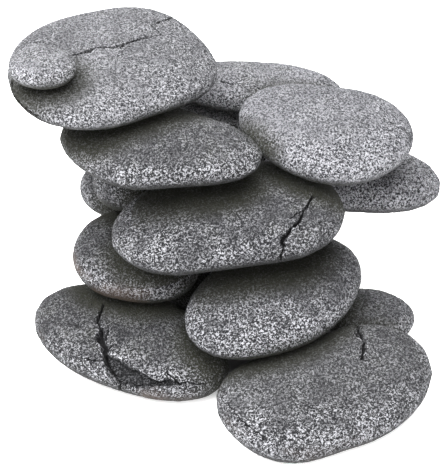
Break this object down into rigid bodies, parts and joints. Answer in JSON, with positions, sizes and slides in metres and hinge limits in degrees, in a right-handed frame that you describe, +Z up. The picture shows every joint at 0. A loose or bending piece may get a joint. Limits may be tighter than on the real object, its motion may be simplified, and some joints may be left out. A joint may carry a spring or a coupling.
{
  "type": "basalt massage stone set",
  "caption": "Dry-stacked heap of flat, worn basalt massage stones that overlap like shingles, with a small pebble perched on the top one.",
  "frame": {"origin": "on the ground under the middle of the heap bounding box", "axes": "+Z up; -Y towards the front, the side of the two long front stones; +X to the right, the side of the overhanging stone"},
  "size_m": [0.192, 0.194, 0.1348],
  "materials": {
    "speckled_basalt": "matt, finely pitted and speckled, pale dry bloom along the worn rims, smoother and darker underneath",
    "rough_basalt": "matt and coarser, with shallow cracks, pits and a pale bloom on the rims",
    "dark_basalt": "matt dark grey with fine pits and a faint brown stain low down",
    "plain_basalt": "matt dark grey, finely pitted"
  },
  "bodies": {
    "ground_stones": {"right_low_stone": "rough_basalt", "front_right_base_stone": "speckled_basalt", "front_left_base_stone": "dark_basalt", "centre_base_stone": "plain_basalt", "rear_left_base_stone": "plain_basalt", "rear_right_base_stone": "plain_basalt", "rear_centre_base_stone": "plain_basalt"},
    "front_middle": {"front_middle_stone": "speckled_basalt"},
    "left_middle": {"left_middle_stone": "dark_basalt"},
    "left_rear": {"left_rear_stone": "dark_basalt"},
    "right_core": {"right_core_stone": "plain_basalt"},
    "rear_core": {"rear_core_stone": "plain_basalt"},
    "right_overhang": {"right_overhang_stone": "rough_basalt"},
    "left_wedge": {"left_wedge_stone": "dark_basalt"},
    "bridge": {"bridge_stone": "speckled_basalt"},
    "rear_bridge": {"rear_bridge_stone": "rough_basalt"},
    "rear_prop": {"rear_prop_stone": "plain_basalt"},
    "top_rear": {"top_rear_stone": "rough_basalt"},
    "upper_right": {"upper_right_stone": "speckled_basalt"},
    "upper_left": {"upper_left_stone": "speckled_basalt"},
    "top_left": {"top_left_stone": "speckled_basalt"},
    "perched_pebble": {"perched_pebble": "speckled_basalt"}
  },
  "joints": [
    {"name": "front_middle_lift", "type": "slide", "parent": "ground_stones", "child": "front_middle", "axis": [0, 0, 1], "range_m": [0, 0.02]},
    {"name": "left_middle_lift", "type": "slide", "parent": "front_middle", "child": "left_middle", "axis": [0, 0, 1], "range_m": [0, 0.02]},
    {"name": "left_rear_lift", "type": "slide", "parent": "left_middle", "child": "left_rear", "axis": [0, 0, 1], "range_m": [0, 0.02]},
    {"name": "right_core_lift", "type": "slide", "parent": "left_rear", "child": "right_core", "axis": [0, 0, 1], "range_m": [0, 0.02]},
    {"name": "rear_core_lift", "type": "slide", "parent": "right_core", "child": "rear_core", "axis": [0, 0, 1], "range_m": [0, 0.02]},
    {"name": "right_overhang_lift", "type": "slide", "parent": "rear_core", "child": "right_overhang", "axis": [0, 0, 1], "range_m": [0, 0.02]},
    {"name": "left_wedge_lift", "type": "slide", "parent": "right_overhang", "child": "left_wedge", "axis": [0, 0, 1], "range_m": [0, 0.02]},
    {"name": "bridge_lift", "type": "slide", "parent": "left_wedge", "child": "bridge", "axis": [0, 0, 1], "range_m": [0, 0.02]},
    {"name": "rear_bridge_lift", "type": "slide", "parent": "bridge", "child": "rear_bridge", "axis": [0, 0, 1], "range_m": [0, 0.02]},
    {"name": "rear_prop_lift", "type": "slide", "parent": "rear_bridge", "child": "rear_prop", "axis": [0, 0, 1], "range_m": [0, 0.02]},
    {"name": "top_rear_lift", "type": "slide", "parent": "rear_prop", "child": "top_rear", "axis": [0, 0, 1], "range_m": [0, 0.04]},
    {"name": "upper_right_lift", "type": "slide", "parent": "top_rear", "child": "upper_right", "axis": [0, 0, 1], "range_m": [0, 0.04]},
    {"name": "upper_left_lift", "type": "slide", "parent": "upper_right", "child": "upper_left", "axis": [0, 0, 1], "range_m": [0, 0.04]},
    {"name": "top_left_lift", "type": "slide", "parent": "upper_left", "child": "top_left", "axis": [0, 0, 1], "range_m": [0, 0.04]},
    {"name": "pebble_lift", "type": "slide", "parent": "top_left", "child": "perched_pebble", "axis": [0, 0, 1], "range_m": [0, 0.03]}
  ]
}
